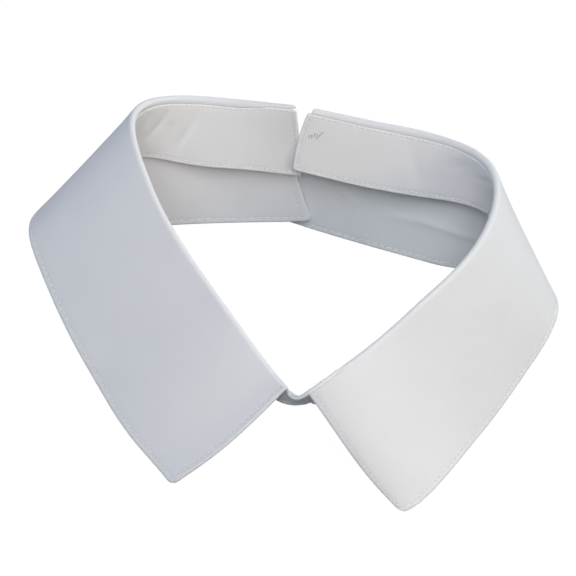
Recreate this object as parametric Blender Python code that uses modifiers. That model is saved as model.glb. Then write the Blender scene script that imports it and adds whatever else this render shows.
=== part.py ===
"""A detachable shirt collar of white cotton, standing by itself and open at the back.

It is one band, the stand, and two leaves that roll over the stand's top edge and fall outside
it. The front is at -Y, and left and right are as the front is seen, so left is -X. Each row of
the tables is one section across the collar: a roll at the fold, the leaf that falls from it to
the table, and the stand that hangs inside it. A smooth curve through the rows gives every
section between them. Sizes here are in millimetres and heights are above the table. The whole
is built about the tables' own zero and moved last, so that its middle in plan is at x = y = 0.
"""

import math
from typing import NamedTuple

import bmesh
import bpy
import numpy as np
from mathutils import Matrix, Vector

MM = 0.001

# The collar's middle in plan, in the tables' own x and y
PLAN_MIDDLE = Vector((1.0, 25.6, 0.0))

# Cloth: two plies and their interlining, sewn as one wall
CLOTH = 1.1
SEAM_GAP = 0.3
ROLL_RADIUS = 0.75
LIP = 0.4
LEAF_BELLY = math.radians(3)
STAND_BELLY = math.radians(2)
POINT_ROUND = 2.6
LEFT_BACK_ROUND = 1.8
BACK_CORNER_ROUND = 0.8
STAND_CORNER_ROUND = 1.1

# Where a leaf's lower edge lies on the table it reaches this far into it, to be cut flat
RESTING = -0.15

# The length of fold over which the way out from it turns, so that it turns gently at the front
TURN_LENGTH = 12.0

# How far the stand's cut ends run past the leaves' ends, at the stand's top edge and foot
STAND_END_LEFT = (0.5, 2.9)
STAND_END_RIGHT = (2.2, 5.9)

# The button sewn to the outer face of the stand's right end
BUTTON_RADIUS = 4.0
BUTTON_THICK = 1.8
BUTTON_DISH = 0.5
BUTTON_RIM = 1.0
BUTTON_FROM_END = 5.5
BUTTON_BELOW_FOLD = 11.5
THREAD_HOLE_RADIUS = 0.5
THREAD_HOLE_PITCH = 1.9

# Mesh steps
LEAF_STEPS = 40
ROLL_STEPS = 5
FALL_STEPS = 7
STAND_STEPS = 84
STAND_RISE_STEPS = 4


class Row(NamedTuple):
    """One section across the collar. Sweep is how far the leaf's lower edge runs on towards
    the front, along the fold; lean is how far the stand's foot stands out from the fold."""

    x: float
    y: float
    top: float
    lean: float
    foot: float
    flare: float
    sweep: float
    hem: float


# Each side from the opening at the back to the gap at the front
LEFT = (
    Row(-0.4, 89.3, 55.2, -0.1, 26.2, 3.9, -6.6, 4.6),
    Row(-21.0, 92.8, 54.1, -4.8, 28.8, -0.1, 3.5, 1.2),
    Row(-40.7, 89.3, 57.3, -1.2, 30.6, 3.3, 12.6, 4.7),
    Row(-53.2, 72.1, 63.3, 8.2, 39.5, 25.7, 1.1, 20.2),
    Row(-49.8, 49.1, 60.3, 6.5, 38.4, 34.1, -12.2, 26.2),
    Row(-40.5, 28.8, 53.3, 3.5, 33.5, 32.2, -15.9, 18.3),
    Row(-28.0, 10.0, 46.3, 1.0, 28.2, 32.5, -16.1, 9.7),
    Row(-14.9, -8.2, 39.8, -1.6, 24.2, 33.4, -14.7, 3.0),
    Row(-0.1, -26.0, 31.8, -5.2, 22.2, 34.2, -13.7, -0.2),
)
RIGHT = (
    Row(5.9, 89.3, 54.2, -4.9, 30.6, 6.3, -9.0, -0.1),
    Row(27.9, 85.5, 52.3, -5.8, 28.9, -0.5, -2.3, -0.4),
    Row(49.7, 78.0, 52.8, -3.9, 29.7, -0.6, 4.9, 0.3),
    Row(64.3, 60.7, 55.4, 2.4, 32.7, 14.4, 0.7, 5.0),
    Row(64.7, 38.9, 53.8, 4.0, 33.1, 22.5, -9.2, 10.7),
    Row(55.4, 17.6, 50.5, 3.8, 31.5, 19.4, -11.3, 5.2),
    Row(41.1, -0.7, 47.3, 3.0, 29.0, 21.7, -11.4, 1.5),
    Row(25.4, -18.3, 43.1, 0.5, 26.6, 25.7, -12.8, 0.6),
    Row(7.3, -32.6, 37.2, -7.6, 26.2, 28.6, -16.5, 0.1),
)
# The stand alone crosses the gap between the two leaves
FRONT = Row(3.6, -31.1, 33.2, -9.0, 25.1, 0.0, 0.0, 0.0)


class Edge(NamedTuple):
    """How far a leaf's end bows out between the fold and the lower edge, and where: a skew
    above 1 puts the fullest part nearer the lower edge, and one below 1 nearer the fold."""

    bow: float
    skew: float

    def reach(self, share):
        """How far it stands out, at a share of the fall."""
        return self.bow * math.sin(math.pi * share**self.skew)


LEFT_BACK = Edge(-3.0, 0.76)
LEFT_FRONT = Edge(1.8, 1.12)
RIGHT_FRONT = Edge(1.5, 1.88)
RIGHT_BACK = Edge(1.0, 1.0)


class Curve:
    """A natural cubic spline through rows of values, by the length run along the fold."""

    def __init__(self, knots, values):
        self.knots = np.asarray(knots, float)
        self.values = np.asarray(values, float)
        gap = np.diff(self.knots)
        count = len(self.knots)
        system = np.eye(count)
        target = np.zeros_like(self.values)
        slope = np.diff(self.values, axis=0) / gap[:, None]
        for i in range(1, count - 1):
            system[i, i - 1 : i + 2] = gap[i - 1], 2 * (gap[i - 1] + gap[i]), gap[i]
            target[i] = 6 * (slope[i] - slope[i - 1])
        self.bend = np.linalg.solve(system, target)

    def at(self, place):
        """The values at a place along the fold; past the ends it runs on straight."""
        inside = min(max(place, self.knots[0]), self.knots[-1])
        i = min(max(int(np.searchsorted(self.knots, inside)) - 1, 0), len(self.knots) - 2)
        gap = self.knots[i + 1] - self.knots[i]
        b = (inside - self.knots[i]) / gap
        a = 1 - b
        curve = a * self.values[i] + b * self.values[i + 1]
        pull = (a**3 - a) * self.bend[i] + (b**3 - b) * self.bend[i + 1]
        value = curve + pull * gap**2 / 6
        if inside == place:
            return value
        step = 0.5 if place > inside else -0.5
        return value + (value - self.at(inside - step)) / step * (place - inside)


def run_lengths(rows):
    """The length run along the fold to each row."""
    points = np.array([(row.x, row.y, row.top) for row in rows])
    return np.concatenate([[0.0], np.cumsum(np.linalg.norm(np.diff(points, axis=0), axis=1))])


class Collar:
    """The collar's form: every point of its cloth from a place along the fold."""

    def __init__(self):
        rows = LEFT + (FRONT,) + RIGHT[::-1]
        lengths = run_lengths(rows)
        self.band = Curve(lengths, [(r.x, r.y, r.top, r.lean, r.foot) for r in rows])
        self.left_span = (lengths[0], lengths[len(LEFT) - 1])
        self.right_span = (lengths[len(LEFT) + 1], lengths[-1])
        # Along the right side the rows run from front to back, so a sweep to the front is minus
        self.left_fall = Curve(
            lengths[: len(LEFT)], [(r.x, r.y, r.flare, r.sweep, r.hem) for r in LEFT]
        )
        self.right_fall = Curve(
            lengths[len(LEFT) + 1 :],
            [(r.x, r.y, r.flare, -r.sweep, r.hem) for r in RIGHT[::-1]],
        )

    def frame(self, place):
        """The fold's top point and the level way out from it."""
        x, y, top = self.band.at(place)[:3]
        return Vector((x, y, top)), level_ways(self.band, place, TURN_LENGTH)[1]

    def roll_centre(self):
        """The roll's centre, as out and up from the fold's top point."""
        return Vector((0, -CLOTH / 2 - ROLL_RADIUS))

    def stand_line(self, place):
        """Where the stand's centre line leaves the roll, its direction there, and its foot."""
        top, lean, foot = self.band.at(place)[2:]
        centre = self.roll_centre()
        end = Vector((lean, foot - top))
        start_way = (end - centre + Vector((ROLL_RADIUS, 0))).normalized()
        start_way.rotate(Matrix.Rotation(-STAND_BELLY, 2))
        start = centre + ROLL_RADIUS * Vector((start_way.y, -start_way.x))
        return start, start_way, end

    def edge_point(self, place, fall):
        """A point of the leaf's lower edge."""
        x, y = self.band.at(place)[:2]
        _, _, flare, sweep, hem = fall.at(place)
        along, out = level_ways(fall, place, TURN_LENGTH / 4)
        return Vector((x, y, max(hem, RESTING))) + out * flare + along * sweep

    def fall_line(self, place, fall):
        """Where a leaf's fall leaves the roll, its direction there, and its lower edge."""
        fold, out = self.frame(place)
        up = Vector((0, 0, 1))
        middle = fold + up * self.roll_centre().y
        edge = self.edge_point(place, fall)
        chord = edge - middle - out * ROLL_RADIUS
        side = Vector((chord.dot(out), chord.z)).normalized()
        side.rotate(Matrix.Rotation(LEAF_BELLY, 2))
        start = middle + ROLL_RADIUS * (out * -side.y + up * side.x)
        line = (edge - start).normalized()
        outward = (out - line * out.dot(line)).normalized()
        return start, line * math.cos(LEAF_BELLY) + outward * math.sin(LEAF_BELLY), edge

    def leaf_section(self, places, fall):
        """Points across a leaf, from its lip inside the fold to its lower edge. The places
        are those of the fold and of each step of the fall, which differ near a bowed edge."""
        fold, out = self.frame(places[0])
        up = Vector((0, 0, 1))
        centre = self.roll_centre()
        middle = fold + up * centre.y
        inner, inner_way, _ = self.stand_line(places[0])
        lip = inner + inner_way * LIP
        points = [fold + out * lip.x + up * lip.y]

        leaves = self.fall_line(places[0], fall)[0] - middle
        first = math.atan2(inner.y - centre.y, inner.x) % math.tau
        last = math.atan2(leaves.z, leaves.dot(out))
        for i in range(ROLL_STEPS):
            angle = first + (last - first) * i / ROLL_STEPS
            points.append(middle + ROLL_RADIUS * (out * math.cos(angle) + up * math.sin(angle)))
        for i, place in enumerate(places):
            start, way, edge = self.fall_line(place, fall)
            points.append(bowed(start, way, edge, i / FALL_STEPS))
        return points

    def stand_point(self, place, share):
        """A point of the stand, from its top edge (share 0) to its foot (share 1)."""
        fold, out = self.frame(place)
        start, way, foot = self.stand_line(place)
        first = (LIP + SEAM_GAP) / (foot - start).length
        point = bowed(start, way, foot, first + (1 - first) * share)
        return fold + out * point.x + Vector((0, 0, point.y))


def level_ways(curve, place, step):
    """The level ways along and out from a curve whose first two values are x and y."""
    ahead, behind = curve.at(place + step), curve.at(place - step)
    along = Vector((ahead[0] - behind[0], ahead[1] - behind[1], 0)).normalized()
    return along, Vector((along.y, -along.x, 0))


def bowed(start, way, end, share):
    """A point on the slightly bowed line that leaves start along way and reaches end."""
    chord = end - start
    reach = chord.length
    line = chord.normalized()
    arrive = 2 * line.dot(way) * line - way
    s = share
    return (
        start * (2 * s**3 - 3 * s**2 + 1)
        + way * reach * (s**3 - 2 * s**2 + s)
        + end * (3 * s**2 - 2 * s**3)
        + arrive * reach * (s**3 - s**2)
    )


def material(name, colour, roughness):
    """A plain finish with the part's own colour."""
    finish = bpy.data.materials.new(name)
    finish.use_nodes = True
    shader = finish.node_tree.nodes["Principled BSDF"]
    shader.inputs["Base Color"].default_value = (*colour, 1.0)
    shader.inputs["Roughness"].default_value = roughness
    shader.inputs["Metallic"].default_value = 0.0
    return finish


def place_object(name, mesh, finish, collection):
    """Puts a mesh in the scene as a named object."""
    mesh.name = name
    piece = bpy.data.objects.new(name, mesh)
    if finish:
        mesh.materials.append(finish)
    collection.objects.link(piece)
    return piece


def sheet(rows, rounded):
    """An open sheet through rows of points, with some of its corners rounded.

    rounded names corners as (row index, column index, radius) in the rows given.
    """
    mesh = bmesh.new()
    grid = [[mesh.verts.new((p - PLAN_MIDDLE) * MM) for p in row] for row in rows]
    for near, far in zip(grid, grid[1:]):
        for i in range(len(near) - 1):
            mesh.faces.new((near[i], near[i + 1], far[i + 1], far[i]))
    corners = [(grid[i][j], radius) for i, j, radius in rounded]
    for corner, radius in corners:
        bmesh.ops.bevel(
            mesh,
            geom=[corner],
            offset=radius * MM,
            offset_type="OFFSET",
            segments=4,
            profile=0.5,
            affect="VERTICES",
        )
    made = bpy.data.meshes.new("sheet")
    mesh.to_mesh(made)
    mesh.free()
    made.shade_smooth()
    return made


def thicken(piece):
    """Gives a sheet the cloth's thickness, half to each side."""
    wall = piece.modifiers.new("Cloth", "SOLIDIFY")
    wall.thickness = CLOTH * MM
    wall.offset = 0.0
    wall.use_even_offset = True
    return piece


def make_leaf(name, collar, span, edges, rounds, fall, finish, collection):
    """One leaf: lip, roll and fall in one piece.

    span is the stretch of fold it hangs from, edges its two ends, and rounds the radii of
    their lower corners.
    """
    rows = []
    for i in range(LEAF_STEPS + 1):
        places = []
        for j in range(FALL_STEPS + 1):
            share = j / FALL_STEPS
            first, last = span[0] - edges[0].reach(share), span[1] + edges[1].reach(share)
            places.append(first + (last - first) * i / LEAF_STEPS)
        rows.append(collar.leaf_section(places, fall))
    rounded = [(0, -1, rounds[0]), (-1, -1, rounds[1])]
    piece = place_object(name, sheet(rows, rounded), finish, collection)
    return thicken(piece)


def slant(ends, share):
    """How far a slanted end runs out, between its top and its foot."""
    return ends[0] + (ends[1] - ends[0]) * share


def make_stand(collar, finish, collection):
    """The band inside, in one piece from the left end at the back to the right end."""
    start, end = collar.left_span[0], collar.right_span[1]
    rows = []
    for i in range(STAND_STEPS + 1):
        row = []
        for j in range(STAND_RISE_STEPS + 1):
            share = j / STAND_RISE_STEPS
            first = start - slant(STAND_END_LEFT, share)
            last = end + slant(STAND_END_RIGHT, share)
            row.append(collar.stand_point(first + (last - first) * i / STAND_STEPS, share))
        rows.append(row)
    rounded = [
        (0, -1, BACK_CORNER_ROUND),
        (-1, 0, STAND_CORNER_ROUND),
        (-1, -1, STAND_CORNER_ROUND),
    ]
    piece = place_object("stand", sheet(rows, rounded), finish, collection)
    return thicken(piece)


def rest_on_table(pieces, cutters):
    """Cuts flat what would reach below the table."""
    mesh = bmesh.new()
    bmesh.ops.create_cube(mesh, size=1.0)
    bmesh.ops.scale(mesh, vec=(400 * MM, 400 * MM, 20 * MM), verts=mesh.verts)
    bmesh.ops.translate(mesh, vec=(0, 0, -10 * MM), verts=mesh.verts)
    made = bpy.data.meshes.new("table")
    mesh.to_mesh(made)
    mesh.free()
    table = place_object("table_cutter", made, None, cutters)
    table.hide_render = True
    table.display_type = "WIRE"
    for piece in pieces:
        cut = piece.modifiers.new("Flat on the table", "BOOLEAN")
        cut.operation = "DIFFERENCE"
        cut.object = table
        cut.solver = "EXACT"


def make_button(collar, finish, collection, cutters):
    """A small dished button on the outer face of the stand's right end."""
    place = collar.right_span[1] - BUTTON_FROM_END
    start, _, foot = collar.stand_line(place)
    height = (foot - start).length - LIP - SEAM_GAP
    share = (BUTTON_BELOW_FOLD - LIP - SEAM_GAP) / height
    middle = collar.stand_point(place, share)
    down = (collar.stand_point(place, share + 0.1) - middle).normalized()
    along, level_out = level_ways(collar.band, place, TURN_LENGTH)
    out = along.cross(down).normalized()
    if out.dot(level_out) < 0:
        out = -out
    turn = out.to_track_quat("Z", "Y")
    seat = middle + out * (CLOTH / 2 + SEAM_GAP) - PLAN_MIDDLE

    half = BUTTON_THICK / 2
    profile = [
        (0.0, BUTTON_THICK - BUTTON_DISH),
        (BUTTON_RADIUS - BUTTON_RIM, BUTTON_THICK - BUTTON_DISH),
        (BUTTON_RADIUS - BUTTON_RIM * 0.6, BUTTON_THICK),
        (BUTTON_RADIUS - 0.2, BUTTON_THICK),
        (BUTTON_RADIUS, half + 0.3),
        (BUTTON_RADIUS, half),
        (BUTTON_RADIUS - 0.9, 0.0),
        (0.0, 0.0),
    ]
    mesh = bmesh.new()
    verts = [mesh.verts.new((r * MM, 0, z * MM)) for r, z in profile]
    for near, far in zip(verts, verts[1:]):
        mesh.edges.new((near, far))
    made = bpy.data.meshes.new("button")
    mesh.to_mesh(made)
    mesh.free()
    button = place_object("button", made, finish, collection)
    turned = button.modifiers.new("Turned", "SCREW")
    turned.angle = math.tau
    turned.steps = turned.render_steps = 28
    turned.use_merge_vertices = True
    turned.merge_threshold = 0.00001
    button.matrix_world = Matrix.Translation(seat * MM) @ turn.to_matrix().to_4x4()

    mesh = bmesh.new()
    for i in range(4):
        spot = Vector((THREAD_HOLE_PITCH / math.sqrt(2), 0, half))
        spot.rotate(Matrix.Rotation(math.tau * (i + 0.5) / 4, 3, "Z"))
        bmesh.ops.create_cone(
            mesh,
            cap_ends=True,
            segments=8,
            radius1=THREAD_HOLE_RADIUS * MM,
            radius2=THREAD_HOLE_RADIUS * MM,
            depth=2 * BUTTON_THICK * MM,
            matrix=Matrix.Translation(spot * MM),
        )
    made = bpy.data.meshes.new("holes")
    mesh.to_mesh(made)
    mesh.free()
    holes = place_object("button_hole_cutter", made, None, cutters)
    holes.matrix_world = button.matrix_world
    holes.hide_render = True
    holes.display_type = "WIRE"
    cut = button.modifiers.new("Thread holes", "BOOLEAN")
    cut.operation = "DIFFERENCE"
    cut.object = holes
    cut.solver = "EXACT"
    return button


def main():
    """Builds the collar."""
    for old in list(bpy.data.objects):
        bpy.data.objects.remove(old)
    pieces = bpy.data.collections.new("detachable_collar")
    cutters = bpy.data.collections.new("cutters")
    for collection in (pieces, cutters):
        bpy.context.scene.collection.children.link(collection)

    cotton = (0.80, 0.81, 0.83)
    collar = Collar()
    make_stand(collar, material("stand cotton", cotton, 0.85), pieces)
    left = make_leaf(
        "leaf_left",
        collar,
        collar.left_span,
        (LEFT_BACK, LEFT_FRONT),
        (LEFT_BACK_ROUND, POINT_ROUND),
        collar.left_fall,
        material("left leaf cotton", cotton, 0.85),
        pieces,
    )
    right = make_leaf(
        "leaf_right",
        collar,
        collar.right_span,
        (RIGHT_FRONT, RIGHT_BACK),
        (POINT_ROUND, BACK_CORNER_ROUND),
        collar.right_fall,
        material("right leaf cotton", cotton, 0.85),
        pieces,
    )
    rest_on_table((left, right), cutters)
    make_button(collar, material("button plastic", (0.82, 0.81, 0.78), 0.3), pieces, cutters)


if __name__ == "__main__":
    main()
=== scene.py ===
"""Looks of a white cotton detachable collar, sewn, pressed and standing on its leaves.

The collar is the band that goes round the neck, and two leaves that roll over its top edge.
Every piece is a thin closed shell of cloth. It is laid out as it was cut, in millimetres along
the fold and down from it, and the same sections as the solids' give its drape. Creases, seam
ridges and the pull of the stitches are relief on that form. Lengths in the tables are in
millimetres, and the front is at -Y.
"""

import logging
import math
from dataclasses import dataclass, field
from enum import Enum

import bmesh
import bpy
import numpy as np
from mathutils import Matrix, Vector


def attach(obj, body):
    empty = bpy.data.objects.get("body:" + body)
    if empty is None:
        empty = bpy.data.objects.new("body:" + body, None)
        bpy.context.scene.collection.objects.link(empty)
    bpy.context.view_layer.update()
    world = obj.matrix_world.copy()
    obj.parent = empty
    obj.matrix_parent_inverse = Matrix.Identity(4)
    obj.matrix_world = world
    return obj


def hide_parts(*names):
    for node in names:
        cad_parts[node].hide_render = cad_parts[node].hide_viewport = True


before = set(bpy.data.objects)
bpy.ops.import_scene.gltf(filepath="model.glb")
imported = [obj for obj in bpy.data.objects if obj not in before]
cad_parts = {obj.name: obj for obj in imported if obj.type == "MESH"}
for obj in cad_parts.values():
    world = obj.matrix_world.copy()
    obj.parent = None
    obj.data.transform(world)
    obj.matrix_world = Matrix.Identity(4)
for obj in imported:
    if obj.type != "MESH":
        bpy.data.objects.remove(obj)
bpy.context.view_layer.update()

MM = 0.001
LOG = logging.getLogger("collar")


class Side(Enum):
    """The two faces of a piece of cloth: the one its normal points to, and the other."""

    FACE = 1.0
    BACK = -1.0


@dataclass(frozen=True)
class Row:
    """One section across the collar, where x, y and top are the fold's highest point.

    The lean is how far the band's foot stands out from the fold, and foot is its height. The
    flare is how far a leaf's lower edge stands out, the sweep how far it runs on towards the
    front, and hem its height.
    """

    x: float
    y: float
    top: float
    lean: float
    foot: float
    flare: float
    sweep: float
    hem: float


LEFT_ROWS: tuple[Row, ...] = (
    Row(-0.4, 89.3, 55.2, -0.1, 26.2, 3.9, -6.6, 4.6),
    Row(-21.0, 92.8, 54.1, -4.8, 28.8, -0.1, 3.5, 1.2),
    Row(-40.7, 89.3, 57.3, -1.2, 30.6, 3.3, 12.6, 4.7),
    Row(-53.2, 72.1, 63.3, 8.2, 39.5, 25.7, 1.1, 20.2),
    Row(-49.8, 49.1, 60.3, 6.5, 38.4, 34.1, -12.2, 26.2),
    Row(-40.5, 28.8, 53.3, 3.5, 33.5, 32.2, -15.9, 18.3),
    Row(-28.0, 10.0, 46.3, 1.0, 28.2, 32.5, -16.1, 9.7),
    Row(-14.9, -8.2, 39.8, -1.6, 24.2, 33.4, -14.7, 3.0),
    Row(-0.1, -26.0, 31.8, -5.2, 22.2, 34.2, -13.7, -0.2),
)
RIGHT_ROWS: tuple[Row, ...] = (
    Row(5.9, 89.3, 54.2, -4.9, 30.6, 6.3, -9.0, -0.1),
    Row(27.9, 85.5, 52.3, -5.8, 28.9, -0.5, -2.3, -0.4),
    Row(49.7, 78.0, 52.8, -3.9, 29.7, -0.6, 4.9, 0.3),
    Row(64.3, 60.7, 55.4, 2.4, 32.7, 14.4, 0.7, 5.0),
    Row(64.7, 38.9, 53.8, 4.0, 33.1, 22.5, -9.2, 10.7),
    Row(55.4, 17.6, 50.5, 3.8, 31.5, 19.4, -11.3, 5.2),
    Row(41.1, -0.7, 47.3, 3.0, 29.0, 21.7, -11.4, 1.5),
    Row(25.4, -18.3, 43.1, 0.5, 26.6, 25.7, -12.8, 0.6),
    Row(7.3, -32.6, 37.2, -7.6, 26.2, 28.6, -16.5, 0.1),
)
GAP_ROW = Row(3.6, -31.1, 33.2, -9.0, 25.1, 0.0, 0.0, 0.0)
PLAN_MIDDLE = np.array([1.0, 25.6, 0.0])


@dataclass(frozen=True)
class Edge:
    """The line of a leaf's end, as how far it runs out past the stretch of fold it hangs from.

    The bow is the most it runs out on the fall. A skew above 1 puts that nearer the lower edge.
    The slant is how far it runs out at the lip, over the roll.
    """

    bow: float
    skew: float
    slant: float = 0.0

    def reach(self, share: np.ndarray) -> np.ndarray:
        """How far it runs out, from the lip, -1, over the roll's outer end, 0, to the hem, 1."""
        fall = np.clip(share, 0.0, 1.0) ** self.skew
        return self.bow * np.sin(math.pi * fall) - self.slant * np.minimum(share, 0.0)


class RowCurve:
    """A natural cubic spline through rows of values, by the length run along the fold."""

    def __init__(self, knots: np.ndarray, values: np.ndarray) -> None:
        """Solves the spline.

        Args:
            knots: The length run along the fold to each row.
            values: One row of numbers for each knot.
        """
        self.knots = np.asarray(knots, float)
        self.values = np.asarray(values, float)
        gap = np.diff(self.knots)
        count = len(self.knots)
        system = np.eye(count)
        target = np.zeros_like(self.values)
        slope = np.diff(self.values, axis=0) / gap[:, None]
        for i in range(1, count - 1):
            system[i, i - 1 : i + 2] = gap[i - 1], 2 * (gap[i - 1] + gap[i]), gap[i]
            target[i] = 6 * (slope[i] - slope[i - 1])
        self.bend = np.linalg.solve(system, target)

    def at(self, place: np.ndarray) -> np.ndarray:
        """Reads the curve at places along the fold; past its ends it runs on straight.

        Args:
            place: Lengths run along the fold.

        Returns:
            The values there, in a last axis of their own.
        """
        place = np.asarray(place, float)
        inside = np.clip(place, self.knots[0], self.knots[-1])
        value = self._inside(inside)
        step = np.where(place > inside, 0.5, -0.5)
        before = self._inside(np.clip(inside - step, self.knots[0], self.knots[-1]))
        run_on = (value - before) / step[..., None] * (place - inside)[..., None]
        return value + np.where((place == inside)[..., None], 0.0, run_on)

    def _inside(self, place: np.ndarray) -> np.ndarray:
        """Reads the curve at places between its first and last knot.

        Args:
            place: Lengths run along the fold.

        Returns:
            The values there.
        """
        i = np.clip(np.searchsorted(self.knots, place) - 1, 0, len(self.knots) - 2)
        gap = self.knots[i + 1] - self.knots[i]
        b = (place - self.knots[i]) / gap
        a = 1 - b
        line = a[..., None] * self.values[i] + b[..., None] * self.values[i + 1]
        pull = (a**3 - a)[..., None] * self.bend[i] + (b**3 - b)[..., None] * self.bend[i + 1]
        return line + pull * (gap**2)[..., None] / 6


def unit(vectors: np.ndarray) -> np.ndarray:
    """Makes vectors one long.

    Args:
        vectors: Vectors in the last axis.

    Returns:
        The same directions at length one.
    """
    return vectors / np.maximum(np.linalg.norm(vectors, axis=-1, keepdims=True), 1e-12)


def dot(a: np.ndarray, b: np.ndarray) -> np.ndarray:
    """The dot products of two arrays of vectors, keeping the last axis."""
    return np.sum(a * b, axis=-1, keepdims=True)


def bowed(start: np.ndarray, way: np.ndarray, end: np.ndarray, share: np.ndarray) -> np.ndarray:
    """Points on slightly bowed lines.

    Args:
        start: Where each line starts.
        way: The direction it starts in.
        end: Where it ends.
        share: How far along it to go, from 0 to 1.

    Returns:
        The points.
    """
    chord = end - start
    reach = np.linalg.norm(chord, axis=-1, keepdims=True)
    line = chord / np.maximum(reach, 1e-9)
    arrive = 2 * dot(line, way) * line - way
    s = np.asarray(share, float)[..., None]
    return (
        start * (2 * s**3 - 3 * s**2 + 1)
        + way * reach * (s**3 - 2 * s**2 + s)
        + end * (3 * s**2 - 2 * s**3)
        + arrive * reach * (s**3 - s**2)
    )


@dataclass
class Drape:
    """How the collar hangs: the middle of its cloth from a place along the fold."""

    cloth: float = 1.1
    roll: float = 0.75
    seam_gap: float = 0.14
    leaf_belly: float = math.radians(3)
    band_belly: float = math.radians(2)
    turn_length: float = 12.0
    resting: float = -0.15
    seam_line: tuple[tuple[float, float], ...] = (
        (0, -0.5), (9, -0.4), (20, 0.9), (150, 0.9), (176, 0.7), (182.3, 0.6), (183.6, -1.5),
        (203, -1.55), (209, -0.7), (216, -0.3), (226, 0.3), (240, 0.7), (360, 0.7), (372, 0.3),
    )
    band: RowCurve = field(init=False)
    left: RowCurve = field(init=False)
    right: RowCurve = field(init=False)
    left_span: tuple[float, float] = field(init=False)
    right_span: tuple[float, float] = field(init=False)

    def __post_init__(self) -> None:
        """Runs the splines through the tables."""
        rows = LEFT_ROWS + (GAP_ROW,) + RIGHT_ROWS[::-1]
        folds = np.array([(r.x, r.y, r.top) for r in rows])
        steps = np.linalg.norm(np.diff(folds, axis=0), axis=1)
        runs = np.concatenate([[0.0], np.cumsum(steps)])
        count = len(LEFT_ROWS)
        self.band = RowCurve(runs, [(r.x, r.y, r.top, r.lean, r.foot) for r in rows])
        self.left = RowCurve(
            runs[:count], [(r.x, r.y, r.flare, r.sweep, r.hem) for r in LEFT_ROWS]
        )
        self.right = RowCurve(
            runs[count + 1 :],
            [(r.x, r.y, r.flare, -r.sweep, r.hem) for r in RIGHT_ROWS[::-1]],
        )
        self.left_span = (float(runs[0]), float(runs[count - 1]))
        self.right_span = (float(runs[count + 1]), float(runs[-1]))

    @staticmethod
    def ways(curve: RowCurve, place: np.ndarray, step: float) -> tuple[np.ndarray, np.ndarray]:
        """The level ways along and out from a curve.

        Args:
            curve: The curve, whose first two values are x and y.
            place: Lengths run along the fold.
            step: The length over which the curve's turn is evened out, to each side.

        Returns:
            The ways along and out, as unit vectors.
        """
        run = (curve.at(place + step) - curve.at(place - step))[..., :2]
        along = unit(np.concatenate([run, np.zeros_like(run[..., :1])], axis=-1))
        out = np.stack([along[..., 1], -along[..., 0], np.zeros_like(along[..., 0])], axis=-1)
        return along, out

    def frame(self, place: np.ndarray) -> tuple[np.ndarray, np.ndarray]:
        """The fold's top points and the level ways out from them."""
        return self.band.at(place)[..., :3], self.ways(self.band, place, self.turn_length)[1]

    def band_line(self, place: np.ndarray) -> tuple[np.ndarray, np.ndarray, np.ndarray]:
        """The band's section: where it leaves the roll, which way, and its foot.

        Args:
            place: Lengths run along the fold.

        Returns:
            Start, direction and end, each as out and up from the fold's top.
        """
        row = self.band.at(place)
        top, lean, foot = row[..., 2], row[..., 3], row[..., 4]
        drop = -self.cloth / 2 - self.roll
        centre = np.stack([np.zeros_like(top), np.full_like(top, drop)], axis=-1)
        end = np.stack([lean, foot - top], axis=-1)
        way = unit(end - centre + np.array([self.roll, 0.0]))
        turn = -self.band_belly
        way = np.stack(
            [
                way[..., 0] * math.cos(turn) - way[..., 1] * math.sin(turn),
                way[..., 0] * math.sin(turn) + way[..., 1] * math.cos(turn),
            ],
            axis=-1,
        )
        start = centre + self.roll * np.stack([way[..., 1], -way[..., 0]], axis=-1)
        return start, way, end

    def seam(self, place: np.ndarray) -> np.ndarray:
        """How far below the roll's inner end the seam runs; less than nought is up the roll."""
        places, depths = np.array(self.seam_line).T
        return np.interp(place, places, depths)

    def inside(self, place: np.ndarray, run: np.ndarray) -> np.ndarray:
        """Points on the cloth's middle inside the collar.

        Args:
            place: Lengths run along the fold.
            run: How far down from the roll's inner end; less than nought is up the roll.

        Returns:
            The points, in the tables' frame.
        """
        fold, out = self.frame(place)
        start, way, foot = self.band_line(place)
        height = np.linalg.norm(foot - start, axis=-1)
        flat = bowed(start, way, foot, np.maximum(run, 0.0) / height)
        drop = -self.cloth / 2 - self.roll
        angle = np.mod(np.arctan2(start[..., 1] - drop, start[..., 0]), math.tau)
        angle = angle + np.minimum(run, 0.0) / self.roll
        rolled = self.roll * np.stack([np.cos(angle), np.sin(angle)], axis=-1)
        rolled[..., 1] += drop
        flat = np.where((run < 0)[..., None], rolled, flat)
        up = np.zeros_like(fold)
        up[..., 2] = flat[..., 1]
        return fold + out * flat[..., :1] + up

    def band_point(self, place: np.ndarray, share: np.ndarray) -> np.ndarray:
        """Points on the middle of the band.

        Args:
            place: Lengths run along the fold.
            share: From its top edge, 0, to its foot, 1.

        Returns:
            The points, in the solids' frame.
        """
        start, _, foot = self.band_line(place)
        height = np.linalg.norm(foot - start, axis=-1)
        first = self.seam(place) + self.seam_gap
        return self.inside(place, first + (height - first) * share) - PLAN_MIDDLE

    def leaf_edge(self, curve: RowCurve, place: np.ndarray) -> np.ndarray:
        """Points of a leaf's lower edge.

        Args:
            curve: The leaf's own curve.
            place: Lengths run along the fold.

        Returns:
            The points, in the tables' frame.
        """
        fold = self.band.at(place)
        row = curve.at(place)
        along, out = self.ways(curve, place, self.turn_length / 4)
        base = np.stack(
            [fold[..., 0], fold[..., 1], np.maximum(row[..., 4], self.resting)], axis=-1
        )
        return base + out * row[..., 2:3] + along * row[..., 3:4]

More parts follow.
